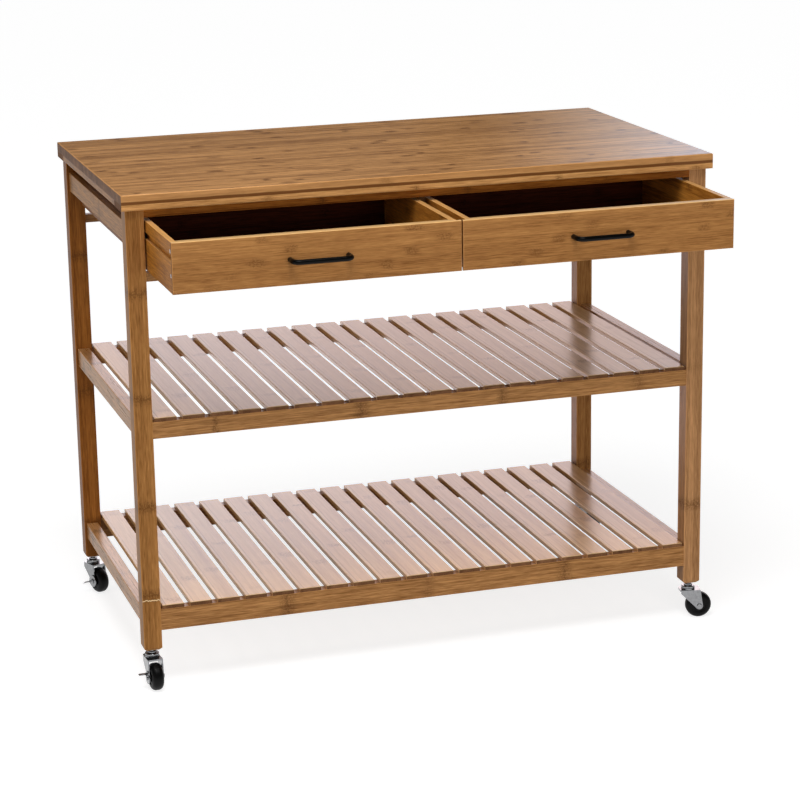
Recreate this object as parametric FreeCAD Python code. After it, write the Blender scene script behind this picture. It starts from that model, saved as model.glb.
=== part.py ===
# Bamboo kitchen cart with two open drawers, two slatted shelves and four swivel casters.
# Lengths are in millimetres. While the pieces are made, X is measured from the cart's middle plane,
# Y from the front faces of the legs and Z from the floor. At the end everything is moved so that
# the origin lies at the bottom centre of the whole cart, drawers open as shown.
# +X is to the right, -Y is the front with the drawers, +Z is up.
import FreeCAD
import Part
import math
import os

# Frame
frame_width = 1084.0
frame_depth = 590.0
leg_size = 33.0
leg_bottom = 72.0
leg_height = 805.0
leg_edge_round = 1.5
leg_foot_chamfer = 5.0
rail_edge_round = 1.0

# Worktop
worktop_length = 1100.0
worktop_depth = 610.0
front_overhang = 12.0
panel_thickness = 17.0
panel_top_round = 2.0
edge_strip_thickness = 11.0
edge_strip_width = 60.0
edge_strip_round = 2.5

# Rails above and below the drawers
rail_thickness = 18.0
rail_setback = 2.0
top_rail_height = 15.0
low_rail_height = 16.0
low_rail_bottom = 749.0

# Side aprons, slide boards, centre divider and drawer runners
apron_bottom = 815.0
apron_height = 36.0
apron_thickness = 18.0
apron_setback = 5.0
slide_board_bottom = 791.0
slide_board_height = 66.0
slide_board_back_gap = 26.0
divider_thickness = 12.0
runner_bottom = 824.0
runner_height = 11.5
runner_thickness = 7.0
runner_front = 12.0
runner_tip_round = 3.0

# Shelves
slat_count = 20
slat_width = 40.0
slat_thickness = 7.5
slat_leg_gap = 3.5
slat_edge_round = 1.2
shelf_rail_thickness = 22.0
shelf_side_thickness = 22.0
shelf_side_setback = 5.0
mid_slat_top = 504.0
mid_rail_height = 30.5
mid_side_top = 502.5
mid_side_height = 35.0
low_slat_top = 156.0
low_shelf_rail_height = 39.5
low_side_top = 144.0
low_side_height = 31.0

# Dowels between rails, legs, divider and worktop
dowel_radius = 3.0
dowel_length = 28.0
dowel_clearance = 0.05
dowel_end_clearance = 0.5
worktop_dowel_rise = 9.5

# Drawers
drawer_open = 200.0
drawer_length = 400.0
drawer_bottom = 768.0
drawer_height = 88.0
drawer_gap = 2.5
drawer_inner_lip = 7.25
drawer_front_thickness = 16.0
drawer_front_lip = 6.0
drawer_front_round = 1.5
drawer_side_thickness = 10.5
drawer_back_thickness = 12.0
drawer_back_drop = 6.0
drawer_floor_lift = 8.0
drawer_floor_thickness = 4.0
drawer_floor_tongue = 5.0
drawer_slot_clearance = 0.2
drawer_edge_round = 0.8
runner_slot_depth = 6.0
runner_slot_clearance = 0.3
front_screw_drops = (16.0, 58.0)
back_screw_drops = (12.0, 62.0)
screw_radius = 2.0
screw_length = 28.0
screw_head_radius = 3.6
screw_head_height = 2.0
screw_clearance = 0.05
screw_cross_length = 4.4
screw_cross_width = 1.0
screw_cross_depth = 1.4

# Handles
handle_spacing = 102.0
handle_bar_radius = 4.5
handle_projection = 32.0
handle_bend_radius = 12.0

# Casters, each described with its stem on the Z axis and its wheel trailing along +X
wheel_radius = 25.0
wheel_width = 22.0
wheel_edge_round = 9.0
wheel_trail = 20.0
wheel_recess_outer = 14.5
wheel_recess_inner = 9.0
wheel_recess_depth = 1.5
axle_radius = 4.0
axle_head_radius = 5.0
axle_head_thickness = 1.8
axle_head_round = 1.5
running_clearance = 0.1
fixed_clearance = 0.05
fork_plate_thickness = 2.0
fork_wheel_gap = 1.0
fork_top_low = 54.5
fork_top_high = 57.5
fork_top_back = -17.0
fork_top_front = 22.0
fork_top_round = 6.0
fork_shoulder_low = 52.0
fork_boss_radius = 7.0
cup_radius = 13.0
cup_top = 64.7
cup_edge_round = 1.5
cup_groove_low = 60.2
cup_groove_high = 61.4
cup_groove_depth = 1.5
collar_radius = 8.0
collar_bottom = 65.0
collar_top = 67.5
kingpin_radius = 4.0
kingpin_head_radius = 7.0
kingpin_head_bottom = 51.4
kingpin_head_top = 54.2
stem_radius = 5.0
stem_top = 105.0
stem_hole_top = 106.0
lever_plate_radius = 12.0
lever_thickness = 1.5
lever_gap = 0.3
lever_reach = 14.0
lever_tab_rise = 2.5
lever_tab_width = 7.5
lever_tab_length = 13.0
caster_headings = {
    "front_left": -87.0,
    "front_right": -12.0,
    "back_left": -70.0,
    "back_right": -55.0,
}
lever_press_angles = {"front_left": 0.0, "back_left": 35.0}

# Positions that follow from the dimensions
half_width = frame_width / 2.0
leg_inner_x = half_width - leg_size
leg_top = leg_bottom + leg_height
leg_middle = leg_size / 2.0
panel_bottom = leg_top + edge_strip_thickness
panel_top = panel_bottom + panel_thickness
worktop_front = -front_overhang
worktop_back = worktop_front + worktop_depth
drawer_top = drawer_bottom + drawer_height
drawer_face = -drawer_open
front_back_face = drawer_face + drawer_front_thickness
side_front_end = drawer_face + drawer_front_lip
drawer_rear = drawer_face + drawer_length
fork_inner = wheel_width / 2.0 + fork_wheel_gap
fork_outer = fork_inner + fork_plate_thickness

pieces = {}


def point(x, y, z):
    return FreeCAD.Vector(x, y, z)


def block(x_range, y_range, z_range):
    """Solid box between the low and high ends of three ranges."""
    low = point(min(x_range), min(y_range), min(z_range))
    size = point(max(x_range), max(y_range), max(z_range)) - low
    return Part.makeBox(size.x, size.y, size.z, low)


def rod(radius, start, direction, length):
    return Part.makeCylinder(radius, length, start, direction)


def edges_along(shape, axis):
    """Edges of a box that run along one axis, given as 'x', 'y' or 'z'."""
    found = []
    for edge in shape.Edges:
        run = edge.Vertexes[-1].Point - edge.Vertexes[0].Point
        if abs(getattr(run, axis)) > 0.99 * run.Length:
            found.append(edge)
    return found


def edges_at(edges, axis, position):
    """Those of the edges whose whole length lies at one position on an axis."""
    found = []
    for edge in edges:
        box = edge.BoundBox
        low = getattr(box, axis.upper() + "Min")
        high = getattr(box, axis.upper() + "Max")
        if abs(low - position) < 0.01 and abs(high - position) < 0.01:
            found.append(edge)
    return found


def rounded_bar(x_range, y_range, z_range, axis, radius):
    """Box whose long edges along one axis are rounded."""
    bar = block(x_range, y_range, z_range)
    return bar.makeFillet(radius, edges_along(bar, axis))


def mirrored(shape):
    return shape.mirror(point(0, 0, 0), point(1, 0, 0))


# Dowels: every joint adds a dowel and the hole it sits in
dowels = []
dowel_holes = []


def add_dowel(joint, direction, below):
    """Dowel through a joint plane, starting the given length before it."""
    start = joint - direction * below
    dowels.append(rod(dowel_radius, start, direction, dowel_length))
    hole_start = start - direction * dowel_end_clearance
    hole_length = dowel_length + 2 * dowel_end_clearance
    dowel_holes.append(rod(dowel_radius + dowel_clearance, hole_start, direction, hole_length))


def add_cross_rail_dowels(y, heights):
    """Dowels at both ends of a rail that runs from the left leg to the right leg."""
    for z in heights:
        for x in (-leg_inner_x, leg_inner_x):
            add_dowel(point(x, y, z), point(1, 0, 0), dowel_length / 2.0)


def add_side_rail_dowels(x, heights):
    """Dowels at both ends of the left and right rails that run from front to back."""
    for z in heights:
        for side in (-1, 1):
            for y in (leg_size, frame_depth - leg_size):
                add_dowel(point(side * x, y, z), point(0, 1, 0), dowel_length / 2.0)


def thirds(bottom, height):
    return (bottom + height * 0.27, bottom + height * 0.73)


def drilled(shape):
    """The shape with every dowel hole that reaches it cut out."""
    near = [hole for hole in dowel_holes if hole.BoundBox.intersect(shape.BoundBox)]
    if not near:
        return shape
    return shape.cut(Part.makeCompound(near))


# Heights and depths shared by rails and their dowels
top_rail_bottom = leg_top - top_rail_height
front_rail_y = (rail_setback, rail_setback + rail_thickness)
back_rail_y = (frame_depth - rail_setback - rail_thickness, frame_depth - rail_setback)
shelf_front_y = (rail_setback, rail_setback + shelf_rail_thickness)
shelf_back_y = (frame_depth - rail_setback - shelf_rail_thickness, frame_depth - rail_setback)
apron_x = half_width - apron_setback - apron_thickness / 2.0
shelf_side_x = half_width - shelf_side_setback - shelf_side_thickness / 2.0
mid_rail_bottom = mid_slat_top - slat_thickness - mid_rail_height
low_shelf_bottom = low_slat_top - slat_thickness - low_shelf_rail_height
mid_side_bottom = mid_side_top - mid_side_height
low_side_bottom = low_side_top - low_side_height

for rail_y in (front_rail_y, back_rail_y):
    add_cross_rail_dowels(sum(rail_y) / 2.0, (top_rail_bottom + top_rail_height / 2.0,))
    add_cross_rail_dowels(sum(rail_y) / 2.0, (low_rail_bottom + low_rail_height / 2.0,))
for rail_y in (shelf_front_y, shelf_back_y):
    add_cross_rail_dowels(sum(rail_y) / 2.0, thirds(mid_rail_bottom, mid_rail_height))
    add_cross_rail_dowels(sum(rail_y) / 2.0, thirds(low_shelf_bottom, low_shelf_rail_height))
add_side_rail_dowels(apron_x, thirds(apron_bottom, apron_height))
add_side_rail_dowels(shelf_side_x, thirds(mid_side_bottom, mid_side_height))
add_side_rail_dowels(shelf_side_x, thirds(low_side_bottom, low_side_height))
for divider_z in (top_rail_bottom + top_rail_height / 2.0, low_rail_bottom + low_rail_height / 2.0):
    for divider_end in (max(front_rail_y), min(back_rail_y)):
        add_dowel(point(0, divider_end, divider_z), point(0, 1, 0), dowel_length / 2.0)
for leg_x in (-half_width + leg_middle, half_width - leg_middle):
    for leg_y in (leg_middle, frame_depth - leg_middle):
        add_dowel(point(leg_x, leg_y, leg_top), point(0, 0, 1), dowel_length - worktop_dowel_rise)

# Worktop panel with a rounded top edge
panel_x = (-worktop_length / 2, worktop_length / 2)
panel = block(panel_x, (worktop_front, worktop_back), (panel_bottom, panel_top))
pieces["worktop_panel"] = panel.makeFillet(panel_top_round, edges_at(panel.Edges, "z", panel_top))


# Edge strips under the panel, flush with it, each with its lower outer edge rounded
def make_strip(x_range, y_range, axis, outer_position):
    strip = block(x_range, y_range, (leg_top, panel_bottom))
    low_edges = edges_at(strip.Edges, "z", leg_top)
    return drilled(strip.makeFillet(edge_strip_round, edges_at(low_edges, axis, outer_position)))


front_strip_y = (worktop_front, worktop_front + edge_strip_width)
back_strip_y = (worktop_back - edge_strip_width, worktop_back)
side_strip_x = (-worktop_length / 2, -worktop_length / 2 + edge_strip_width)
side_strip_y = (max(front_strip_y), min(back_strip_y))
side_strip = make_strip(side_strip_x, side_strip_y, "x", min(side_strip_x))
pieces["worktop_strip_front"] = make_strip(panel_x, front_strip_y, "y", worktop_front)
pieces["worktop_strip_back"] = make_strip(panel_x, back_strip_y, "y", worktop_back)
pieces["worktop_strip_left"] = side_strip
pieces["worktop_strip_right"] = mirrored(side_strip)


# Legs with rounded long edges, chamfered feet and a socket for the caster stem
def make_leg(x_low, y_low):
    leg = block((x_low, x_low + leg_size), (y_low, y_low + leg_size), (leg_bottom, leg_top))
    leg = leg.makeChamfer(leg_foot_chamfer, edges_at(leg.Edges, "z", leg_bottom))
    leg = leg.makeFillet(leg_edge_round, edges_along(leg, "z"))
    socket_start = point(x_low + leg_middle, y_low + leg_middle, leg_bottom)
    socket = rod(stem_radius + fixed_clearance, socket_start, point(0, 0, 1), stem_hole_top - leg_bottom)
    return drilled(leg.cut(socket))


leg_corners = {
    "front_left": (-half_width, 0.0),
    "front_right": (half_width - leg_size, 0.0),
    "back_left": (-half_width, frame_depth - leg_size),
    "back_right": (half_width - leg_size, frame_depth - leg_size),
}
for corner, (corner_x, corner_y) in leg_corners.items():
    pieces["leg_" + corner] = make_leg(corner_x, corner_y)

# Rails above and below the drawers, front and back
cross_x = (-leg_inner_x, leg_inner_x)
top_rail_z = (top_rail_bottom, leg_top)
low_rail_z = (low_rail_bottom, low_rail_bottom + low_rail_height)
for place, rail_y in (("front", front_rail_y), ("back", back_rail_y)):
    top_rail = rounded_bar(cross_x, rail_y, top_rail_z, "x", rail_edge_round)
    low_rail = rounded_bar(cross_x, rail_y, low_rail_z, "x", rail_edge_round)
    pieces["rail_top_" + place] = drilled(top_rail)
    pieces["rail_low_" + place] = drilled(low_rail)

# Aprons between the legs at the sides, slide boards on their inner faces, divider in the middle
between_legs_y = (leg_size, frame_depth - leg_size)
apron_outer_x = -half_width + apron_setback
apron_inner_x = apron_outer_x + apron_thickness
apron_z = (apron_bottom, apron_bottom + apron_height)
apron = drilled(rounded_bar((apron_outer_x, apron_inner_x), between_legs_y, apron_z, "y", rail_edge_round))
pieces["apron_left"] = apron
pieces["apron_right"] = mirrored(apron)
slide_board_y = (leg_size, frame_depth - leg_size - slide_board_back_gap)
slide_board_z = (slide_board_bottom, slide_board_bottom + slide_board_height)
slide_board = block((apron_inner_x, -leg_inner_x), slide_board_y, slide_board_z)
pieces["slide_board_left"] = slide_board
pieces["slide_board_right"] = mirrored(slide_board)
divider = block(
    (-divider_thickness / 2, divider_thickness / 2),
    (max(front_rail_y), min(back_rail_y)),
    (low_rail_bottom, leg_top),
)
pieces["centre_divider"] = drilled(divider)


# Four runners: one on each slide board, reaching past the leg, and one on each face of the divider
side_runner = block(
    (-leg_inner_x, -leg_inner_x + runner_thickness),
    (runner_front, max(slide_board_y)),
    (runner_bottom, runner_bottom + runner_height),
)
runner_tip_edges = edges_at(edges_along(side_runner, "z"), "y", runner_front)
runner_tip_edges = edges_at(runner_tip_edges, "x", -leg_inner_x + runner_thickness)
side_runner = side_runner.makeFillet(runner_tip_round, runner_tip_edges)
middle_runner = block(
    (-divider_thickness / 2 - runner_thickness, -divider_thickness / 2),
    (max(front_rail_y), max(slide_board_y)),
    (runner_bottom, runner_bottom + runner_height),
)
pieces["drawer_runners"] = Part.makeCompound(
    [side_runner, mirrored(side_runner), middle_runner, mirrored(middle_runner)]
)


# Shelves: front and back rails carry the slats, side rails close the ends
def make_slats(slat_top):
    first_x = -leg_inner_x + slat_leg_gap
    pitch = (2 * -first_x - slat_width) / (slat_count - 1)
    slats = []
    for index in range(slat_count):
        x_low = first_x + index * pitch
        slat = block(
            (x_low, x_low + slat_width),
            (min(shelf_front_y), max(shelf_back_y)),
            (slat_top - slat_thickness, slat_top),
        )
        slats.append(slat.makeFillet(slat_edge_round, edges_at(slat.Edges, "z", slat_top)))
    return Part.makeCompound(slats)


def make_shelf(name, slat_top, rail_bottom, side_z):
    rail_z = (rail_bottom, slat_top - slat_thickness)
    side_x = (-half_width + shelf_side_setback, -half_width + shelf_side_setback + shelf_side_thickness)
    side_rail = drilled(rounded_bar(side_x, between_legs_y, side_z, "y", rail_edge_round))
    for place, rail_y in (("front", shelf_front_y), ("back", shelf_back_y)):
        rail = rounded_bar(cross_x, rail_y, rail_z, "x", rail_edge_round)
        pieces[name + "_rail_" + place] = drilled(rail)
    pieces[name + "_rail_left"] = side_rail
    pieces[name + "_rail_right"] = mirrored(side_rail)
    pieces[name + "_slats"] = make_slats(slat_top)


make_shelf("mid_shelf", mid_slat_top, mid_rail_bottom, (mid_side_bottom, mid_side_top))
make_shelf("low_shelf", low_slat_top, low_shelf_bottom, (low_side_bottom, low_side_top))
pieces["frame_dowels"] = Part.makeCompound(dowels)


# Countersunk screw whose head lies flush at the start point; with a clearance it is the screw's hole
def make_screw(start, direction, clearance):
    head = Part.makeCone(
        screw_head_radius + clearance, screw_radius + clearance, screw_head_height, start, direction
    )
    shank = rod(screw_radius + clearance, start, direction, screw_length + clearance)
    return head.fuse(shank).removeSplitter()


def cut_cross(screw, start, direction):
    """The screw with two crossed slots in its head."""
    slots = []
    for first, second in (
        (screw_cross_length, screw_cross_width),
        (screw_cross_width, screw_cross_length),
    ):
        size = point(first, 2 * screw_cross_depth, second)
        if abs(direction.x) > 0.5:
            size = point(2 * screw_cross_depth, first, second)
        slots.append(Part.makeBox(size.x, size.y, size.z, start - size * 0.5))
    return screw.cut(Part.makeCompound(slots))


# Bar handle: a round bar bent at both ends, with a screw hole in each foot
def make_handle(middle_x, middle_z):
    bar_y = drawer_face - handle_projection + handle_bar_radius
    left_x = middle_x - handle_spacing / 2.0
    right_x = middle_x + handle_spacing / 2.0
    bend = handle_bend_radius
    diagonal = bend * math.sqrt(0.5)
    left_arc = Part.Arc(
        point(left_x, bar_y + bend, middle_z),
        point(left_x + bend - diagonal, bar_y + bend - diagonal, middle_z),
        point(left_x + bend, bar_y, middle_z),
    )
    right_arc = Part.Arc(
        point(right_x - bend, bar_y, middle_z),
        point(right_x - bend + diagonal, bar_y + bend - diagonal, middle_z),
        point(right_x, bar_y + bend, middle_z),
    )
    path = Part.Wire([
        Part.makeLine(point(left_x, drawer_face, middle_z), point(left_x, bar_y + bend, middle_z)),
        left_arc.toShape(),
        Part.makeLine(point(left_x + bend, bar_y, middle_z), point(right_x - bend, bar_y, middle_z)),
        right_arc.toShape(),
        Part.makeLine(point(right_x, bar_y + bend, middle_z), point(right_x, drawer_face, middle_z)),
    ])
    section = Part.Wire(
        [Part.makeCircle(handle_bar_radius, point(left_x, drawer_face, middle_z), point(0, 1, 0))]
    )
    return path.makePipeShell([section], True, False)


# Left drawer, closed by rabbets in the front's ends; the right drawer is its mirror image
front_left_x = -leg_inner_x + drawer_gap
front_right_x = -drawer_gap / 2.0
outer_side_x = (front_left_x, front_left_x + drawer_side_thickness)
inner_side_x = (
    front_right_x - drawer_inner_lip - drawer_side_thickness,
    front_right_x - drawer_inner_lip,
)
inside_x = (max(outer_side_x), min(inner_side_x))
drawer_z = (drawer_bottom, drawer_top)
floor_bottom = drawer_bottom + drawer_floor_lift
floor_slot_z = (floor_bottom, floor_bottom + drawer_floor_thickness + drawer_slot_clearance)
tongue_slot = drawer_floor_tongue + drawer_slot_clearance
side_y = (side_front_end, drawer_rear)
handle_x = (front_left_x + front_right_x) / 2.0
handle_z = drawer_bottom + drawer_height / 2.0

drawer_screws = []
drawer_screw_holes = []


def add_screw(start, direction):
    drawer_screws.append(cut_cross(make_screw(start, direction, 0.0), start, direction))
    drawer_screw_holes.append(make_screw(start, direction, screw_clearance))


front_screw_y = (side_front_end + front_back_face) / 2.0
back_screw_y = drawer_rear - drawer_back_thickness / 2.0
for screw_y, drops in ((front_screw_y, front_screw_drops), (back_screw_y, back_screw_drops)):
    for drop in drops:
        add_screw(point(min(outer_side_x), screw_y, drawer_top - drop), point(1, 0, 0))
        add_screw(point(max(inner_side_x), screw_y, drawer_top - drop), point(-1, 0, 0))
for foot_x in (handle_x - handle_spacing / 2.0, handle_x + handle_spacing / 2.0):
    add_screw(point(foot_x, front_back_face, handle_z), point(0, -1, 0))
screw_hole_set = Part.makeCompound(drawer_screw_holes)

front = block((front_left_x, front_right_x), (drawer_face, front_back_face), drawer_z)
front = front.makeFillet(drawer_front_round, edges_at(front.Edges, "y", drawer_face))
outer_rabbet = block(
    (front_left_x - drawer_gap, max(outer_side_x)), (side_front_end, front_back_face), drawer_z
)
inner_rabbet = block(
    (min(inner_side_x), front_right_x + drawer_gap), (side_front_end, front_back_face), drawer_z
)
front_slot = block(inside_x, (front_back_face - tongue_slot, front_back_face), floor_slot_z)
front = front.cut(Part.makeCompound([outer_rabbet, inner_rabbet, front_slot, screw_hole_set]))

runner_slot_bottom = runner_bottom - runner_slot_clearance
runner_slot_z = (runner_slot_bottom, runner_slot_bottom + runner_height + 2 * runner_slot_clearance)


def make_drawer_side(x_range, outer_x, inner_x):
    """Drawer side with a slot for the runner outside and one for the floor inside."""
    inward = math.copysign(1.0, inner_x - outer_x)
    side = rounded_bar(x_range, side_y, drawer_z, "y", drawer_edge_round)
    runner_slot = block((outer_x, outer_x + inward * runner_slot_depth), side_y, runner_slot_z)
    floor_slot = block((inner_x, inner_x - inward * tongue_slot), side_y, floor_slot_z)
    return side.cut(Part.makeCompound([runner_slot, floor_slot, screw_hole_set]))


outer_side = make_drawer_side(outer_side_x, min(outer_side_x), max(outer_side_x))
inner_side = make_drawer_side(inner_side_x, max(inner_side_x), min(inner_side_x))
drawer_back = block(
    inside_x,
    (drawer_rear - drawer_back_thickness, drawer_rear),
    (max(floor_slot_z), drawer_top - drawer_back_drop),
)
drawer_back = drawer_back.cut(screw_hole_set)
floor_lift = drawer_slot_clearance / 2.0
drawer_floor = block(
    (min(inside_x) - drawer_floor_tongue, max(inside_x) + drawer_floor_tongue),
    (front_back_face - drawer_floor_tongue, drawer_rear),
    (floor_bottom + floor_lift, floor_bottom + floor_lift + drawer_floor_thickness),
)
handle = make_handle(handle_x, handle_z).cut(screw_hole_set)
left_drawer = {
    "front": front,
    "outer_side": outer_side,
    "inner_side": inner_side,
    "back": drawer_back,
    "floor": drawer_floor,
    "handle": handle,
    "screws": Part.makeCompound(drawer_screws),
}
for piece_name, piece_shape in left_drawer.items():
    pieces["drawer_left_" + piece_name] = piece_shape
    pieces["drawer_right_" + piece_name] = mirrored(piece_shape)


# Caster pieces around the stem axis, before they are turned to their heading
def upright(radius, low_z, high_z):
    """Round bar on the stem axis between two heights."""
    return rod(radius, point(0, 0, low_z), point(0, 0, 1), high_z - low_z)


def make_stem():
    head = upright(kingpin_head_radius, kingpin_head_bottom, kingpin_head_top)
    pin = upright(kingpin_radius, kingpin_head_top, collar_bottom)
    collar = upright(collar_radius, collar_bottom, collar_top)
    stem = upright(stem_radius, collar_top, stem_top)
    return pin.multiFuse([head, collar, stem]).removeSplitter()


def make_fork():
    corners = [
        point(fork_top_back, 0, fork_top_high),
        point(fork_top_front, 0, fork_top_high),
        point(wheel_trail + fork_boss_radius, 0, wheel_radius),
        point(wheel_trail - fork_boss_radius * 0.85, 0, wheel_radius - fork_boss_radius * 0.5),
        point(fork_top_back, 0, fork_shoulder_low),
    ]
    outline = Part.Face(Part.makePolygon(corners + corners[:1]))
    plates = []
    for low_y in (-fork_outer, fork_inner):
        plate = outline.extrude(point(0, fork_plate_thickness, 0))
        plate.translate(point(0, low_y, 0))
        boss_start = point(wheel_trail, low_y, wheel_radius)
        boss = rod(fork_boss_radius, boss_start, point(0, 1, 0), fork_plate_thickness)
        plates.append(plate.fuse(boss))
    top_x = (fork_top_back, fork_top_front)
    top = block(top_x, (-fork_outer, fork_outer), (fork_top_low, fork_top_high))
    cup = upright(cup_radius, fork_top_high, cup_top)
    cup = cup.makeFillet(cup_edge_round, edges_at(cup.Edges, "z", cup_top))
    groove = upright(cup_radius, cup_groove_low, cup_groove_high)
    groove = groove.cut(upright(cup_radius - cup_groove_depth, cup_groove_low, cup_groove_high))
    envelope = block((fork_top_back, 2 * wheel_radius), (-fork_outer, fork_outer), (0, cup_top))
    envelope_edges = edges_at(edges_along(envelope, "z"), "x", fork_top_back)
    envelope = envelope.makeFillet(fork_top_round, envelope_edges)
    fork = top.multiFuse(plates).common(envelope)
    fork = fork.fuse(cup.cut(groove)).removeSplitter()
    pin_hole = upright(kingpin_radius + running_clearance, fork_top_low, cup_top)
    axle_start = point(wheel_trail, -fork_outer, wheel_radius)
    axle_hole = rod(axle_radius + fixed_clearance, axle_start, point(0, 1, 0), 2 * fork_outer)
    return fork.cut(pin_hole).cut(axle_hole)


def make_axle(braked):
    """Rivet through the fork; on a braked caster it also passes through the lever."""
    low_y = -fork_outer
    if braked:
        low_y = -fork_outer - 2 * lever_gap - lever_thickness
    start = point(wheel_trail, low_y, wheel_radius)
    shank = rod(axle_radius, start, point(0, 1, 0), fork_outer - low_y)
    heads = []
    for head_y, outer_y in (
        (low_y - axle_head_thickness, low_y - axle_head_thickness),
        (fork_outer, fork_outer + axle_head_thickness),
    ):
        head_start = point(wheel_trail, head_y, wheel_radius)
        head = rod(axle_head_radius, head_start, point(0, 1, 0), axle_head_thickness)
        heads.append(head.makeFillet(axle_head_round, edges_at(head.Edges, "y", outer_y)))
    return shank.multiFuse(heads).removeSplitter()


def make_wheel():
    low_y = -wheel_width / 2.0
    start = point(wheel_trail, low_y, wheel_radius)
    wheel = rod(wheel_radius, start, point(0, 1, 0), wheel_width)
    rim_edges = edges_at(wheel.Edges, "y", low_y) + edges_at(wheel.Edges, "y", -low_y)
    wheel = wheel.makeFillet(wheel_edge_round, rim_edges)
    for recess_y in (low_y, -low_y - wheel_recess_depth):
        recess_start = point(wheel_trail, recess_y, wheel_radius)
        outer = rod(wheel_recess_outer, recess_start, point(0, 1, 0), wheel_recess_depth)
        inner = rod(wheel_recess_inner, recess_start, point(0, 1, 0), wheel_recess_depth)
        wheel = wheel.cut(outer.cut(inner))
    return wheel.cut(rod(axle_radius + running_clearance, start, point(0, 1, 0), wheel_width))


def make_lever(press_angle):
    """Flat plate around the axle with a foot tab bent outwards, pressed down by an angle."""
    plate_y = -fork_outer - lever_gap - lever_thickness
    axle_start = point(wheel_trail, plate_y, wheel_radius)
    disc = rod(lever_plate_radius, axle_start, point(0, 1, 0), lever_thickness)
    tip_x = wheel_trail - lever_reach
    tab_z = (wheel_radius + lever_tab_rise, wheel_radius + lever_tab_rise + lever_thickness)
    corners = [
        point(wheel_trail, plate_y, wheel_radius + lever_plate_radius),
        point(tip_x, plate_y, max(tab_z)),
        point(tip_x, plate_y, min(tab_z)),
        point(wheel_trail - lever_plate_radius / 2.0, plate_y, wheel_radius - lever_plate_radius * 0.85),
        axle_start,
    ]
    arm = Part.Face(Part.makePolygon(corners + corners[:1])).extrude(point(0, lever_thickness, 0))
    tab_y = (plate_y - lever_tab_length, plate_y + lever_thickness)
    tab = block((tip_x, tip_x + lever_tab_width), tab_y, tab_z)
    lever = disc.multiFuse([arm, tab]).removeSplitter()
    lever = lever.cut(rod(axle_radius + running_clearance, axle_start, point(0, 1, 0), lever_thickness))
    lever.rotate(axle_start, point(0, -1, 0), press_angle)
    return lever


def placed(shape, corner):
    """The caster piece turned to its heading and moved under its leg."""
    corner_x, corner_y = leg_corners[corner]
    moved = shape.copy()
    moved.rotate(point(0, 0, 0), point(0, 0, 1), caster_headings[corner])
    moved.translate(point(corner_x + leg_middle, corner_y + leg_middle, 0))
    return moved


stems = []
for corner in leg_corners:
    braked = corner in lever_press_angles
    stems.append(placed(make_stem(), corner))
    pieces["caster_fork_" + corner] = placed(make_fork(), corner)
    pieces["caster_axle_" + corner] = placed(make_axle(braked), corner)
    pieces["caster_wheel_" + corner] = placed(make_wheel(), corner)
    if braked:
        pieces["caster_brake_" + corner] = placed(make_lever(lever_press_angles[corner]), corner)
pieces["caster_stems"] = Part.makeCompound(stems)

# Move everything so that the origin is at the bottom centre, then write one file for each piece
whole = Part.makeCompound(list(pieces.values())).optimalBoundingBox()
shift = point(-whole.Center.x, -whole.Center.y, -whole.ZMin)
print("shift", round(shift.x, 3), round(shift.y, 3), round(shift.z, 3))
os.makedirs("parts", exist_ok=True)
for piece_name, piece_shape in pieces.items():
    final = piece_shape.copy()
    final.translate(shift)
    final.exportStep("parts/" + piece_name + ".step")
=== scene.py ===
import math

import bpy
from mathutils import Euler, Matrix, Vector

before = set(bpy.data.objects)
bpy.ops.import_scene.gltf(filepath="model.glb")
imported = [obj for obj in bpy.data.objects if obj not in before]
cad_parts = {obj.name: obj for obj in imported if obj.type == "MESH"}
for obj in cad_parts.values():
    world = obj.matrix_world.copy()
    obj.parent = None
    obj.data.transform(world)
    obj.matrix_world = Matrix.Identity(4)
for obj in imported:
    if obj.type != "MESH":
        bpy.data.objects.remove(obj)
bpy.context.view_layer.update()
scene = bpy.context.scene

# Materials and stage of the bamboo kitchen cart. Lengths are in metres, in the frame of the CAD pieces.
# A value that ends in _span holds the start and the end of a smooth rise, or of a fall if the start is
# the larger.

# Streaks in the bamboo: repeats per metre along and across the grain, and their noise
wide_streaks = dict(stretch=(1.6, 60.0), detail=2.0)
medium_streaks = dict(stretch=(13.0, 300.0), detail=3.0, roughness=0.6)
fine_streaks = dict(stretch=(42.0, 700.0), detail=2.0, roughness=0.6)
thread_streaks = dict(stretch=(1.5, 50.0), detail=3.0, roughness=0.6)
ragged_streaks = dict(stretch=(60.0, 200.0), detail=3.0)
tick_streaks = dict(stretch=(300.0, 420.0), detail=3.0)
mid_shade = 0.5
fibre_share = 0.5
fibre_depth = 0.0004

# Glued strips, the seams between them and the fine wavy threads
strip_start = 0.37
layer_start = 0.43
strip_slide = 7.0
seam_span = (0.47, 0.498)
seam_share = 0.4
pale_thread_at = 0.54
pale_thread_span = (0.05, 0.01)
pale_thread_gain = 1.25
dark_thread_at = 0.42
dark_thread_span = (0.04, 0.01)

# Knots of the culm
knot_pitch = 0.27
knot_slide = 5.0
knot_seed_step = 3.0
knot_ragged = 0.024
knot_least_length = 0.6
knot_length_change = 0.8
knot_chance_span = (-0.3, 0.6)
knot_side_ragged = 0.5
knot_side_span = (0.5, 0.2)
knot_halo_span = (0.016, 0.004)
knot_rim_span = (0.0024, 0.0006)
knot_tick_span = (0.36, 0.64)
knot_tick_share = 0.65

# End grain, pale rounded edges that are painted highlight and wear at once, and the part of a normal over
# which a surface counts as facing a way
end_speckle = dict(scale=520.0, detail=4.0, roughness=0.65)
end_speckle_reach = 1.4
end_blotch = dict(scale=70.0, detail=3.0)
end_blotch_reach = 1.0
end_tone_reach = 0.4
end_face_span = (0.6, 0.8)
end_extra_rough = 0.25
edge_highlight_span = (0.985, 0.9)
edge_highlight_gain = 1.35
faces_span = (0.5, 0.8)
faces_front_span = (-0.5, -0.8)
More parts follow.
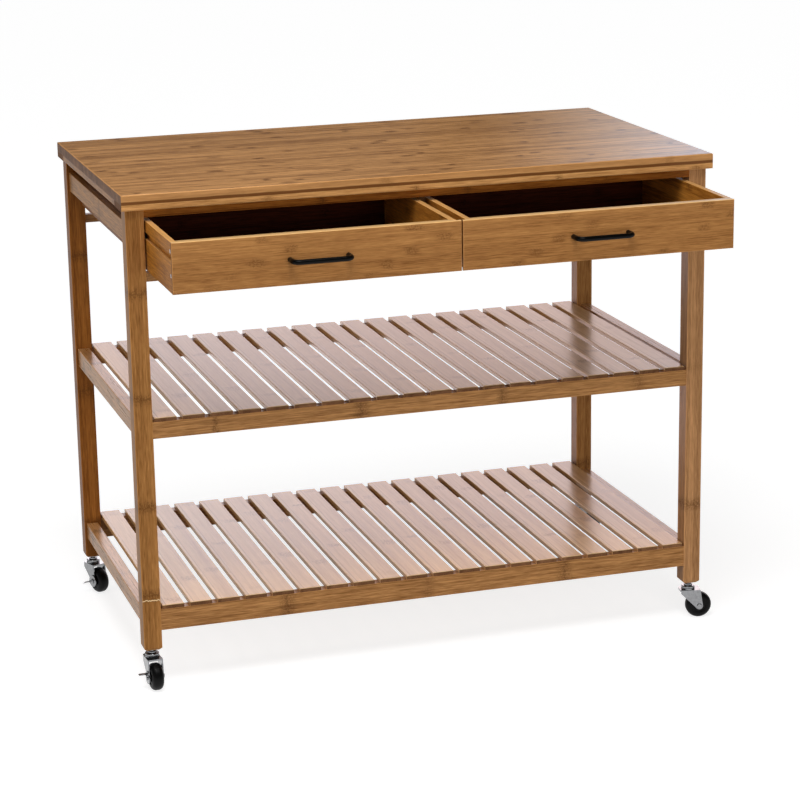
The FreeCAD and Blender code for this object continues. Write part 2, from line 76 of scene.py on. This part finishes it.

# Dark layer along the worktop's edge, scratch on the front left leg, painted highlight on the tops of the
# drawers
layer_top = 0.8933
layer_soft = 0.0005
layer_waves = 14.0
layer_wave_detail = 2.0
layer_wave_height = 0.0025
layer_share = 0.92
edge_pale_share = 0.6
chip_height = 0.168
chip_waves = 150.0
chip_wave_detail = 3.0
chip_wave_height = 0.012
chip_line_span = (0.0013, 0.0005)
drawer_face_y = -0.383
# Painted highlight on the drawers' upward faces: where it rises, how far it reaches from the front and how
# strong it is
highlight_up_span = (0.3, 0.7)
highlight_front_reach = (0.018, 0.004)
highlight_share = 0.3
highlight_front_share = 0.2

# Smudges and fine scratches on metal, plastic and rubber
metal_smudge = dict(scale=160.0, detail=4.0, roughness=0.6)
metal_smudge_span = (0.35, 0.7)
metal_smudge_dark = 0.82
metal_smudge_rough = 0.12
metal_grit = dict(scale=1500.0, detail=2.0)
metal_grit_relief = 0.15
metal_grit_depth = 0.0002

# Camera at the photograph's viewing angle
camera_lens = 112.872
camera_sensor = 36.0
camera_place = (-1.3697, -4.3558, 1.6826)
camera_turn_degrees = (74.7863, 0.927, -17.6511)

# Stage: lamps, reflector boards, surrounding light and floor
lamp_size = 1.6
shelf_board_x = (-0.5, 4.0)
shelf_board_y = 0.9
shelf_board_split = 0.58
shelf_board_top = 0.92
shelf_board_span = (-0.3, 0.5)
side_board_span = (0.85, 1.8)
overhead_light = 0.20
wall_light = 0.50
wall_rise = (0.15, 0.5)
surround_gloss = 0.09
white = (1.0, 1.0, 1.0, 1.0)
floor_half = 30.0
floor_grey = (0.45, 0.45, 0.45, 1.0)
near_glow = 0.78
far_glow = 0.88
glow_span = (0.5, 4.0)

# Socket numbers of a Mix node that mixes colours
mix_share_input = 0
mix_first_input = 6
mix_second_input = 7
mix_colour_output = 2


def srgb(red, green, blue):
    """Colour written as 0-255 screen values, returned as linear RGBA."""
    linear = []
    for level in (red, green, blue):
        share = level / 255.0
        linear.append(share / 12.92 if share <= 0.04045 else ((share + 0.055) / 1.055) ** 2.4)
    return (*linear, 1.0)


def brighter(colour, gain):
    """Colour with its levels raised, at most to full."""
    return tuple(min(1.0, gain * level) for level in colour)


class Graph:
    """Node tree of one material or world, put together a step at a time."""

    def __init__(self, owner, output="ShaderNodeOutputMaterial"):
        self.owner = owner
        owner.use_nodes = True
        self.tree = owner.node_tree
        self.tree.nodes.clear()
        self.surface = self.node(output).inputs["Surface"]

    def node(self, kind, **settings):
        made = self.tree.nodes.new(kind)
        for key, value in settings.items():
            setattr(made, key, value)
        return made

    def feed(self, socket, value):
        """Links a node's output to the socket, or sets a plain value on it."""
        if isinstance(value, bpy.types.NodeSocket):
            self.tree.links.new(value, socket)
        else:
            socket.default_value = value

    def math(self, operation, first, second=0.0, third=0.0):
        made = self.node("ShaderNodeMath", operation=operation)
        for socket, value in zip(made.inputs, (first, second, third)):
            self.feed(socket, value)
        return made.outputs[0]

    def spread(self, value, from_range, to_range, **settings):
        """Carries one range of values over to another and holds it at the ends."""
        made = self.node("ShaderNodeMapRange", **settings)
        self.feed(made.inputs["Value"], value)
        for side, start, end in zip(("Min", "Max"), from_range, to_range):
            made.inputs["From " + side].default_value = start
            made.inputs["To " + side].default_value = end
        return made.outputs["Result"]

    def smooth(self, value, start, end):
        """Rises smoothly from 0 at start to 1 at end; falls where start is the larger."""
        ends = (0.0, 1.0) if start < end else (1.0, 0.0)
        return self.spread(value, sorted((start, end)), ends, interpolation_type="SMOOTHSTEP")

    def swing(self, value, reach, base):
        """Adds to base a 0-1 value's distance from its middle, scaled by reach."""
        return self.math("ADD", base, self.math("MULTIPLY_ADD", value, reach, -0.5 * reach))

    def off_middle(self, value):
        """Distance from the middle of each whole step of the value."""
        return self.math("ABSOLUTE", self.math("SUBTRACT", self.math("FRACT", value), 0.5))

    def mix(self, share, first, second):
        made = self.node("ShaderNodeMix", data_type="RGBA")
        self.feed(made.inputs[mix_share_input], share)
        self.feed(made.inputs[mix_first_input], first)
        self.feed(made.inputs[mix_second_input], second)
        return made.outputs[mix_colour_output]

    def split(self, vector):
        made = self.node("ShaderNodeSeparateXYZ")
        self.feed(made.inputs[0], vector)
        return made.outputs

    def join(self, x, y, z):
        made = self.node("ShaderNodeCombineXYZ")
        for socket, value in zip(made.inputs, (x, y, z)):
            self.feed(socket, value)
        return made.outputs[0]

    def noise(self, vector, scale=1.0, detail=2.0, roughness=0.5):
        made = self.node("ShaderNodeTexNoise")
        self.feed(made.inputs["Vector"], vector)
        made.inputs["Scale"].default_value = scale
        made.inputs["Detail"].default_value = detail
        made.inputs["Roughness"].default_value = roughness
        return made.outputs[0]

    def streaks(self, point, stretch, coarse=1.0, **noise_settings):
        """Noise drawn out along the grain; point is the place along, across and into the wood."""
        along, side, deep = point
        lengthwise, crosswise = stretch
        drawn_out = self.join(
            self.math("MULTIPLY", along, lengthwise),
            self.math("MULTIPLY", side, crosswise / coarse),
            self.math("MULTIPLY", deep, crosswise / coarse),
        )
        return self.noise(drawn_out, **noise_settings)

    def wander(self, value, waves, detail):
        """Noise along one direction."""
        return self.noise(self.join(self.math("MULTIPLY", value, waves), 0.0, 0.0), detail=detail)

    def chance(self, vector):
        """Three unrelated 0-1 values for each whole-number point."""
        made = self.node("ShaderNodeTexWhiteNoise", noise_dimensions="3D")
        self.feed(made.inputs["Vector"], vector)
        return self.split(made.outputs["Color"])

    def bump(self, height, strength, distance):
        made = self.node("ShaderNodeBump")
        made.inputs["Strength"].default_value = strength
        made.inputs["Distance"].default_value = distance
        self.feed(made.inputs["Height"], height)
        return made.outputs["Normal"]

    def principled(self, **values):
        made = self.node("ShaderNodeBsdfPrincipled")
        for key, value in values.items():
            self.feed(made.inputs[key.replace("_", " ")], value)
        self.feed(self.surface, made.outputs[0])


def nearest_knot(graph, along, ragged, knot_places):
    """Distance from the nearest of the given places along the grain, with a ragged outline."""
    nearest = None
    for spot in knot_places:
        offset = graph.math("SUBTRACT", along, spot)
        distance = graph.math("ABSOLUTE", graph.swing(ragged, knot_ragged, offset))
        nearest = distance if nearest is None else graph.math("MINIMUM", nearest, distance)
    return nearest


def scattered_knots(graph, point, ragged, width, seed):
    """Knots strewn over columns of one width: distance from the knot, its chance, and the place across."""
    along, side, deep = point
    across_at = graph.math("MULTIPLY_ADD", side, 1.0 / width, strip_start + seed)
    column = graph.math("FLOOR", across_at)
    row = graph.math("FLOOR", graph.math("MULTIPLY_ADD", deep, 1.0 / width, layer_start + seed))
    slide = graph.chance(graph.join(column, row, seed + knot_seed_step))[0]
    slide = graph.math("MULTIPLY", slide, knot_slide)
    along_at = graph.math("MULTIPLY_ADD", along, 1.0 / knot_pitch, slide)
    chance = graph.chance(graph.join(graph.math("FLOOR", along_at), column, row))
    offset = graph.math("MULTIPLY_ADD", graph.math("FRACT", along_at), knot_pitch, -0.5 * knot_pitch)
    distance = graph.math("ABSOLUTE", graph.swing(ragged, knot_ragged, offset))
    length = graph.math("MULTIPLY_ADD", chance[1], knot_length_change, knot_least_length)
    return graph.math("DIVIDE", distance, length), chance[0], across_at


def bamboo(name, grain, across, light, dark, mark, end_light, end_dark, seed, strip=0.020, layer=0.020,
           knot_strip=None, knot_places=(), tone=0.35, wide_share=0.5, medium_share=1.7, fine_share=1.5,
           coarse=1.0, threads=0.0, knots=0.8, knots_rare=0.0, knot_solid=0.15, knot_rim=0.8, rough=0.4,
           rough_change=0.16, specular=0.12, top_specular=None, relief=0.2, wear_and_highlight=0.5, paint=None):
    """Laminated bamboo: glued strips, fibre streaks, knots, pale rounded edges (painted highlight and wear)
    and mottled end grain.

    The strips run along the axis named grain and lie side by side along the axis named across."""
    graph = Graph(bpy.data.materials.new(name))
    coords = graph.node("ShaderNodeTexCoord")
    place = dict(zip("xyz", graph.split(coords.outputs["Object"])))
    facing = dict(zip("xyz", graph.split(coords.outputs["Normal"])))
    depth = ({"x", "y", "z"} - {grain, across}).pop()
    along, side, deep = place[grain], place[across], place[depth]

    strip_at = graph.math("MULTIPLY_ADD", side, 1.0 / strip, strip_start + seed)
    layer_at = graph.math("MULTIPLY_ADD", deep, 1.0 / layer, layer_start + seed)
    strip_cell = graph.join(graph.math("FLOOR", strip_at), graph.math("FLOOR", layer_at), seed)
    strip_chance = graph.chance(strip_cell)
    strip_tone = strip_chance[0]
    slid = (graph.math("MULTIPLY_ADD", strip_chance[1], strip_slide, along), side, deep)

    wide = graph.streaks(slid, **wide_streaks)
    medium = graph.streaks(slid, coarse=coarse, **medium_streaks)
    fine = graph.streaks(slid, coarse=coarse, **fine_streaks)
    shade = mid_shade
    patterns = ((strip_tone, tone), (wide, wide_share), (medium, medium_share), (fine, fine_share))
    for pattern, share in patterns:
        shade = graph.swing(pattern, share, shade)
    colour = graph.mix(shade, dark, light)

    if threads:
        wavy = graph.streaks(slid, **thread_streaks)
        pale_thread = (pale_thread_at, pale_thread_span, brighter(light, pale_thread_gain))
        dark_thread = (dark_thread_at, dark_thread_span, dark)
        for thread_at, thread_span, thread_colour in (pale_thread, dark_thread):
            off_thread = graph.math("ABSOLUTE", graph.math("SUBTRACT", wavy, thread_at))
            thread = graph.math("MULTIPLY", graph.smooth(off_thread, *thread_span), threads)
            colour = graph.mix(thread, colour, thread_colour)

    ragged = graph.streaks(slid, **ragged_streaks)
    if knot_places:
        from_knot = nearest_knot(graph, along, ragged, knot_places)
        strength = knots
    else:
        point = (along, side, deep)
        from_knot, chance, knot_across = scattered_knots(graph, point, ragged, knot_strip or strip, seed)
        chance_span = [knots_rare + limit for limit in knot_chance_span]
        strength = graph.math("MULTIPLY", graph.smooth(chance, *chance_span), knots)
        if not knot_strip:
            ragged_side = graph.swing(ragged, knot_side_ragged, graph.off_middle(knot_across))
            strength = graph.math("MULTIPLY", strength, graph.smooth(ragged_side, *knot_side_span))
    halo = graph.smooth(from_knot, *knot_halo_span)
    rim = graph.math("MULTIPLY", graph.smooth(from_knot, *knot_rim_span), knot_rim)
    ticks = graph.smooth(graph.streaks(slid, **tick_streaks), *knot_tick_span)
    tick_reach = knot_tick_share - knot_tick_share * knot_solid
    patch = graph.math("MULTIPLY", halo, graph.math("MULTIPLY_ADD", ticks, tick_reach, knot_solid))
    patch = graph.math("MAXIMUM", patch, rim)
    colour = graph.mix(graph.math("MULTIPLY", patch, strength), colour, mark)
    seam = graph.math("MULTIPLY", graph.smooth(graph.off_middle(strip_at), *seam_span), seam_share)
    colour = graph.mix(seam, colour, mark)

    speckle = graph.noise(coords.outputs["Object"], **end_speckle)
    blotch = graph.noise(coords.outputs["Object"], **end_blotch)
    end_shade = graph.swing(speckle, end_speckle_reach, mid_shade)
    end_shade = graph.swing(blotch, end_blotch_reach, end_shade)
    end_shade = graph.swing(strip_tone, end_tone_reach, end_shade)
    end_face = graph.smooth(graph.math("ABSOLUTE", facing[grain]), *end_face_span)
    colour = graph.mix(end_face, colour, graph.mix(end_shade, end_light, end_dark))

    # Pale rounded edges: a painted highlight along every rounded edge that also passes for wear
    flat = graph.math("ABSOLUTE", facing["x"])
    for axis in "yz":
        flat = graph.math("MAXIMUM", flat, graph.math("ABSOLUTE", facing[axis]))
    edge = graph.math("MULTIPLY", graph.smooth(flat, *edge_highlight_span), wear_and_highlight)
    colour = graph.mix(edge, colour, brighter(light, edge_highlight_gain))
    if paint:
        colour = paint(graph, place, facing, colour)

    if top_specular:
        upward = graph.smooth(facing["z"], *faces_span)
        specular = graph.math("MULTIPLY_ADD", upward, top_specular - specular, specular)
    sheen = graph.swing(medium, rough_change, rough)
    fibres = graph.math("MULTIPLY_ADD", fine, fibre_share, graph.math("MULTIPLY", medium, fibre_share))
    graph.principled(
        Base_Color=colour,
        Roughness=graph.math("MULTIPLY_ADD", end_face, end_extra_rough, sheen),
        Specular_IOR_Level=specular,
        Normal=graph.bump(fibres, relief, fibre_depth),
    )
    return graph.owner


layer_dark = srgb(96, 52, 6)
edge_pale = srgb(180, 130, 76)
chip_pale = srgb(238, 208, 160)
# Colour of the painted highlight on the drawers' upper faces
drawer_highlight_pale = srgb(248, 208, 144)


def layered_edge(graph, place, facing, colour):
    """Paler front and back edges of the worktop with the dark layer that shows along them."""
    long_side = graph.smooth(graph.math("ABSOLUTE", facing["y"]), *faces_span)
    colour = graph.mix(graph.math("MULTIPLY", long_side, edge_pale_share), colour, edge_pale)
    waves = graph.wander(place["x"], layer_waves, layer_wave_detail)
    height = graph.swing(waves, layer_wave_height, place["z"])
    low = graph.smooth(height, layer_top + layer_soft, layer_top - layer_soft)
    share = graph.math("MULTIPLY", graph.math("MULTIPLY", long_side, low), layer_share)
    return graph.mix(share, colour, layer_dark)


def chipped(graph, place, facing, colour):
    """Pale jagged scratch across the front of the leg."""
    waves = graph.wander(place["x"], chip_waves, chip_wave_detail)
    line = graph.swing(waves, chip_wave_height, graph.math("SUBTRACT", place["z"], chip_height))
    line = graph.smooth(graph.math("ABSOLUTE", line), *chip_line_span)
    front = graph.smooth(facing["y"], *faces_front_span)
    return graph.mix(graph.math("MULTIPLY", line, front), colour, chip_pale)


def painted_top_highlight(graph, place, facing, colour):
    """Painted highlight on the upper faces of the drawer boxes, strongest along the front."""
    upward = graph.smooth(facing["z"], *highlight_up_span)
    near_front = graph.smooth(place["y"], *(drawer_face_y + reach for reach in highlight_front_reach))
    share = graph.math("MULTIPLY_ADD", near_front, highlight_front_share, highlight_share)
    return graph.mix(graph.math("MULTIPLY", upward, share), colour, drawer_highlight_pale)


def metal(name, colour, rough, metallic=1.0, specular=0.5):
    """Plated or painted metal, plastic or rubber with faint smudges and fine scratches."""
    graph = Graph(bpy.data.materials.new(name))
    spot = graph.node("ShaderNodeTexCoord").outputs["Object"]
    smudge = graph.noise(spot, **metal_smudge)
    darker = (*(metal_smudge_dark * level for level in colour[:3]), 1.0)
    graph.principled(
        Base_Color=graph.mix(graph.smooth(smudge, *metal_smudge_span), colour, darker),
        Metallic=metallic,
        Roughness=graph.swing(smudge, metal_smudge_rough, rough),
        Specular_IOR_Level=specular,
        Normal=graph.bump(graph.noise(spot, **metal_grit), metal_grit_relief, metal_grit_depth),
    )
    return graph.owner


# Tones of the bamboo: light and dark fibres, knots and seams, and end grain; several are lighter or darker
# copies that stand in for light and shade
caramel = dict(light=srgb(184, 131, 75), dark=srgb(115, 71, 31), mark=srgb(78, 44, 16),
               end_light=srgb(140, 98, 66), end_dark=srgb(78, 48, 26))
worktop_tone = dict(caramel, light=srgb(206, 152, 95), dark=srgb(130, 84, 42), mark=srgb(106, 64, 26))
edge_tone = dict(caramel, light=srgb(210, 156, 96), dark=srgb(148, 100, 52))
# Pale slats: partly paler bamboo, partly painted light standing in for the sheen and light under the shelves
# above
slat_pale_and_lit_tone = dict(caramel, light=srgb(238, 190, 134), dark=srgb(192, 142, 92), mark=srgb(140, 92, 52))
drawer_tone = dict(caramel, mark=srgb(92, 54, 20), end_light=srgb(176, 126, 80),
                   end_dark=srgb(122, 80, 46))
# Painted light: a lighter, stronger-coloured copy for the drawer sides, standing in for the light on their
# inner faces
drawer_side_lit_tone = dict(caramel, light=srgb(206, 138, 58), dark=srgb(140, 82, 24))
# Painted shade: a darker copy of the bamboo for the back left leg and the slide boards under the worktop
painted_shade_deep_tone = dict(caramel, light=srgb(164, 104, 46), dark=srgb(96, 50, 14))
# Painted shade: a darker, deeper-coloured copy for the rail under the worktop's overhang
top_rail_shade_tone = dict(caramel, light=srgb(176, 108, 40), dark=srgb(104, 54, 12))
# Painted light: a lighter copy of the bamboo for the rails and aprons, standing in for the light on their
# faces
rail_lit_tone = dict(caramel, light=srgb(196, 142, 86), dark=srgb(124, 80, 40))
# Painted light: a paler copy for the shelves' side rails, standing in for the sheen on their tops
shelf_side_lit_tone = dict(caramel, light=srgb(212, 158, 102), dark=srgb(150, 102, 58))
# Painted light: lighter copies of the bamboo for the two front legs, standing in for the light they catch
left_leg_lit_tone = dict(caramel, light=srgb(188, 133, 75), dark=srgb(118, 74, 33))
right_leg_lit_tone = dict(caramel, light=srgb(202, 150, 101), dark=srgb(130, 89, 54))
# Painted shade: a near-black brown for the drawer backs and floors, standing in for the shade inside the
# drawers
painted_shade_tone = dict(light=srgb(84, 38, 20), dark=srgb(46, 18, 9), mark=srgb(36, 15, 8),
              end_light=srgb(70, 34, 18), end_dark=srgb(40, 18, 10))

# Woods of the cart
left_leg_knots = (0.178, 0.342, 0.540, 0.730)
leg_grain = dict(strip=0.011, knot_strip=0.4, medium_share=1.1, fine_share=1.3, specular=0.07)
shelf_gloss = dict(rough_change=0.05, top_specular=0.3, relief=0.08)
worktop_wood = bamboo("worktop_bamboo", "x", "y", seed=0.11, tone=0.3, wide_share=0.4, medium_share=1.2,
                      coarse=2.0, threads=0.45, knots=1.25, knots_rare=0.25, knot_solid=0.45, knot_rim=0.0,
                      rough=0.34, specular=0.25, paint=layered_edge, **worktop_tone)
strip_wood_x = bamboo("strip_bamboo_x", "x", "z", seed=0.23, layer=0.04, **edge_tone)
strip_wood_y = bamboo("strip_bamboo_y", "y", "z", seed=0.29, layer=0.04, **caramel)
# Rail under the worktop painted darker as the overhang's shade
top_rail_shaded_wood = bamboo("top_rail_painted_shade_bamboo", "x", "z", seed=0.37, knot_strip=0.5, **top_rail_shade_tone)
# Rails and aprons in the lighter copy of the bamboo as painted light
rail_lit_wood_x = bamboo("rail_painted_light_bamboo_x", "x", "z", seed=0.31, knot_strip=0.5, rough=0.3, **rail_lit_tone)
rail_lit_wood_y = bamboo("rail_painted_light_bamboo_y", "y", "z", seed=0.41, knot_strip=0.5, specular=0.07,
                     **rail_lit_tone)
# Slide boards painted darker as the shade under the worktop
slide_shaded_wood = bamboo("slide_painted_shade_bamboo", "y", "z", seed=0.45, knot_strip=0.5, specular=0.07, **painted_shade_deep_tone)
# Shelf side rails in the paler copy of the bamboo as painted light
shelf_side_lit_wood = bamboo("shelf_side_painted_light_bamboo", "y", "x", seed=0.59, knot_strip=0.5, rough=0.28, specular=0.07,
                         **shelf_gloss, **shelf_side_lit_tone)
leg_wood = bamboo("leg_bamboo", "z", "x", seed=0.47, **leg_grain, **caramel)
# Front legs in lighter copies of the bamboo as painted light
right_leg_lit_wood = bamboo("right_leg_painted_light_bamboo", "z", "x", seed=0.49, **leg_grain, **right_leg_lit_tone)
# Back left leg painted darker as the shade under the worktop
back_leg_shaded_wood = bamboo("back_leg_painted_shade_bamboo", "z", "x", seed=0.43, **leg_grain, **painted_shade_deep_tone)
left_leg_lit_wood = bamboo("leg_bamboo_chipped_painted_light", "z", "x", seed=0.47, knot_places=left_leg_knots, paint=chipped,
                       **leg_grain, **left_leg_lit_tone)
# Slats in a pale tone that is partly their own and partly painted light
slat_pale_and_lit_wood = bamboo("slat_bamboo", "y", "x", seed=0.53, strip=0.0512, wide_share=1.0, medium_share=0.6,
                   fine_share=0.4, knots=0.7, knot_solid=0.2, knot_rim=0.2, rough=0.26, **shelf_gloss,
                   **slat_pale_and_lit_tone)
# Drawer fronts and sides carry a painted highlight on their upward faces
drawer_front_highlight_wood = bamboo("drawer_front_bamboo", "x", "z", seed=0.61, tone=0.3, wide_share=0.7,
                           medium_share=0.9, fine_share=1.3, coarse=0.85, knots=0.9, knot_rim=0.0,
                           paint=painted_top_highlight, **drawer_tone)
# Drawer sides in the painted-light tone, with the painted highlight on their tops
drawer_side_lit_wood = bamboo("drawer_side_painted_light_bamboo", "y", "z", seed=0.67, specular=0.05, paint=painted_top_highlight,
                          **drawer_side_lit_tone)
# Drawer backs and floors painted near black as the shade inside the drawers
drawer_back_shade_wood = bamboo("drawer_back_painted_shade_bamboo", "x", "z", seed=0.71, **painted_shade_tone)
drawer_floor_shade_wood = bamboo("drawer_floor_painted_shade_bamboo", "x", "y", seed=0.73, **painted_shade_tone)

# Metal, plastic and rubber of the cart
zinc = metal("caster_zinc", srgb(148, 149, 151), rough=0.2)
screw_zinc = metal("screw_zinc", srgb(215, 215, 216), rough=0.28)
black_paint = metal("handle_black", srgb(4, 4, 4), rough=0.3, metallic=0.0, specular=0.1)
black_plastic = metal("runner_black", srgb(8, 8, 8), rough=0.5, metallic=0.0, specular=0.2)
black_rubber = metal("wheel_black", srgb(4, 4, 4), rough=0.45, metallic=0.0, specular=0.15)


def material_for(node):
    """Material of a CAD piece, found by the piece's name."""
    if node == "worktop_panel":
        return worktop_wood
    if node.startswith("worktop_strip"):
        return strip_wood_y if node.endswith(("left", "right")) else strip_wood_x
    if node == "leg_front_left":
        return left_leg_lit_wood
    if node == "leg_front_right":
        return right_leg_lit_wood
    if node == "leg_back_left":
        return back_leg_shaded_wood
    if node.startswith("rail_top"):
        return top_rail_shaded_wood
    if node.startswith("leg_") or node == "frame_dowels":
        return leg_wood
    if node.endswith("slats"):
        return slat_pale_and_lit_wood
    if node == "drawer_runners":
        return black_plastic
    if node.startswith("drawer_"):
        kinds = {"front": drawer_front_highlight_wood, "side": drawer_side_lit_wood, "back": drawer_back_shade_wood,
                 "floor": drawer_floor_shade_wood, "handle": black_paint, "screws": screw_zinc}
        return kinds[node.rsplit("_", 1)[1]]
    if node.startswith("caster_wheel"):
        return black_rubber
    if node.startswith("caster_"):
        return zinc
    if node.endswith(("rail_left", "rail_right")):
        return shelf_side_lit_wood
    if node.startswith("slide_board"):
        return slide_shaded_wood
    if node.startswith(("apron", "centre_divider")):
        return rail_lit_wood_y
    return rail_lit_wood_x


for node_name, node_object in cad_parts.items():
    node_object.data.materials.clear()
    node_object.data.materials.append(material_for(node_name))

camera_data = bpy.data.cameras.new("camera")
camera_data.lens = camera_lens
camera_data.sensor_width = camera_sensor
camera = bpy.data.objects.new("camera", camera_data)
camera.location = camera_place
camera.rotation_euler = Euler([math.radians(angle) for angle in camera_turn_degrees])
scene.collection.objects.link(camera)
scene.camera = camera


def softbox(name, place, target, power, in_gloss=True):
    """Square studio lamp aimed at a point of the cart."""
    data = bpy.data.lights.new(name, "AREA")
    data.size = lamp_size
    data.energy = power
    lamp = bpy.data.objects.new(name, data)
    lamp.location = place
    lamp.rotation_euler = (Vector(target) - Vector(place)).to_track_quat("-Z", "Y").to_euler()
    lamp.visible_glossy = in_gloss
    scene.collection.objects.link(lamp)


softbox("key", place=(-0.6, -1.2, 3.2), target=(0.0, 0.0, 0.8), power=66.0)
softbox("fill", place=(0.3, -3.6, 0.9), target=(0.0, 0.0, 0.6), power=41.0, in_gloss=False)
softbox("left", place=(-3.2, -0.6, 1.0), target=(0.0, 0.0, 0.5), power=15.0, in_gloss=False)


def flat_piece(name, corners, material):
    """Four-cornered sheet of the stage."""
    mesh = bpy.data.meshes.new(name)
    mesh.from_pydata(corners, [], [(0, 1, 2, 3)])
    mesh.materials.append(material)
    sheet = bpy.data.objects.new(name, mesh)
    scene.collection.objects.link(sheet)
    return sheet


def reflector(name, x_range, y, z_range, strength, left_colour, right_colour, turn, fade=None):
    """Pale board behind the cart that only shows as a reflection on glossy surfaces.

    Its colour turns from left to right over one stretch of x, and a fade dims its left end over another."""
    graph = Graph(bpy.data.materials.new(name))
    across = graph.split(graph.node("ShaderNodeTexCoord").outputs["Object"])[0]
    shine = graph.node("ShaderNodeEmission")
    graph.feed(shine.inputs["Color"], graph.mix(graph.smooth(across, *turn), left_colour, right_colour))
    shine.inputs["Strength"].default_value = strength
    if fade:
        graph.feed(shine.inputs["Strength"], graph.math("MULTIPLY", graph.smooth(across, *fade), strength))
    graph.feed(graph.surface, shine.outputs[0])
    left, right = x_range
    low, high = z_range
    corners = [(left, y, low), (right, y, low), (right, y, high), (left, y, high)]
    board = flat_piece(name, corners, graph.owner)
    board.visible_camera = False
    board.visible_diffuse = False
    board.visible_transmission = False
    board.visible_shadow = False


reflector("low_board", shelf_board_x, shelf_board_y, z_range=(0.0, shelf_board_split), strength=3.0,
          left_colour=(1.0, 0.93, 0.98, 1.0), right_colour=(0.89, 0.76, 0.78, 1.0), turn=shelf_board_span)
reflector("mid_board", shelf_board_x, shelf_board_y, z_range=(shelf_board_split, shelf_board_top),
          strength=2.2, left_colour=(1.0, 0.87, 0.90, 1.0), right_colour=(0.93, 0.74, 0.72, 1.0),
          turn=shelf_board_span)
reflector("side_board", x_range=(0.7, 4.0), y=2.0, z_range=(1.02, 2.2), strength=3.4,
          left_colour=(1.0, 0.90, 0.80, 1.0), right_colour=(0.42, 0.68, 1.0, 1.0), turn=side_board_span,
          fade=side_board_span)

# Light from the surroundings, brighter low down, white to the camera and dim in reflections
world = bpy.data.worlds.new("studio")
scene.world = world
sky = Graph(world, "ShaderNodeOutputWorld")
rays = sky.node("ShaderNodeLightPath").outputs
seen_clear = sky.math("MAXIMUM", rays["Is Camera Ray"], rays["Is Transmission Ray"])
rise = sky.split(sky.node("ShaderNodeTexCoord").outputs["Generated"])[2]
lighting = sky.spread(rise, wall_rise, (wall_light, overhead_light))
unseen = sky.math("SUBTRACT", 1.0, sky.math("MAXIMUM", seen_clear, rays["Is Glossy Ray"]))
gloss = sky.math("MULTIPLY", rays["Is Glossy Ray"], surround_gloss)
brightness = sky.math("ADD", sky.math("MULTIPLY", unseen, lighting), gloss)
brightness = sky.math("ADD", brightness, seen_clear)
background = sky.node("ShaderNodeBackground")
background.inputs["Color"].default_value = white
sky.feed(background.inputs["Strength"], brightness)
sky.feed(sky.surface, background.outputs[0])

# White floor that keeps a soft shadow; its own glow makes up for the lamps' fall-off further out
floor = Graph(bpy.data.materials.new("floor_white"))
matt = floor.node("ShaderNodeBsdfDiffuse")
matt.inputs["Color"].default_value = floor_grey
floor_rays = floor.node("ShaderNodeLightPath").outputs
floor_seen = floor.math("MAXIMUM", floor_rays["Is Camera Ray"], floor_rays["Is Glossy Ray"])
from_cart = floor.node("ShaderNodeVectorMath", operation="LENGTH")
floor.feed(from_cart.inputs[0], floor.node("ShaderNodeTexCoord").outputs["Object"])
further_out = floor.smooth(from_cart.outputs["Value"], *glow_span)
floor_glow = floor.math("MULTIPLY_ADD", further_out, far_glow - near_glow, near_glow)
glow = floor.node("ShaderNodeEmission")
floor.feed(glow.inputs["Strength"], floor.math("MULTIPLY", floor_seen, floor_glow))
both = floor.node("ShaderNodeAddShader")
floor.feed(both.inputs[0], matt.outputs[0])
floor.feed(both.inputs[1], glow.outputs[0])
floor.feed(floor.surface, both.outputs[0])
corner_signs = ((-1, -1), (1, -1), (1, 1), (-1, 1))
floor_corners = [(x * floor_half, y * floor_half, 0.0) for x, y in corner_signs]
flat_piece("floor", floor_corners, floor.owner)

scene.view_settings.view_transform = "Standard"
